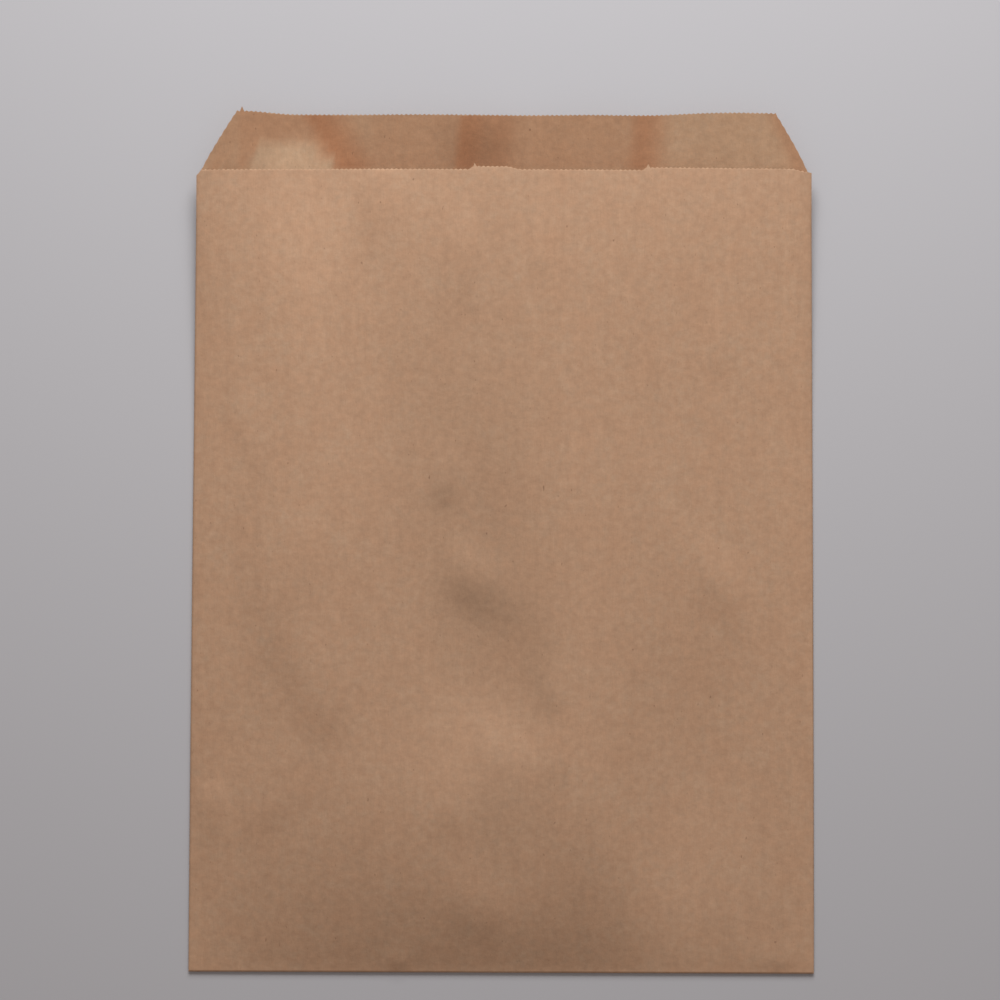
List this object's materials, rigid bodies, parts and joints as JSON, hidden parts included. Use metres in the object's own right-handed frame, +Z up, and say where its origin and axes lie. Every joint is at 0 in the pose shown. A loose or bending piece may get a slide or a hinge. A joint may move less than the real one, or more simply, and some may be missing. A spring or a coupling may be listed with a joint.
{
  "type": "flat paper bag",
  "caption": "Flat brown kraft paper bag with a pinch bottom and a toothed mouth, its back ply standing past the front as a lip, lying on its back and partly open.",
  "frame": {"origin": "under the middle of the bag's outline, on the surface that it lies on", "axes": "+X across the bag, +Y from the bottom fold to the mouth, +Z up through the front ply"},
  "size_m": [0.216, 0.2986, 0.0143],
  "materials": {
    "kraft_paper": "matt unbleached kraft"
  },
  "bodies": {
    "root": {"paper_bag": "kraft_paper"}
  },
  "joints": []
}
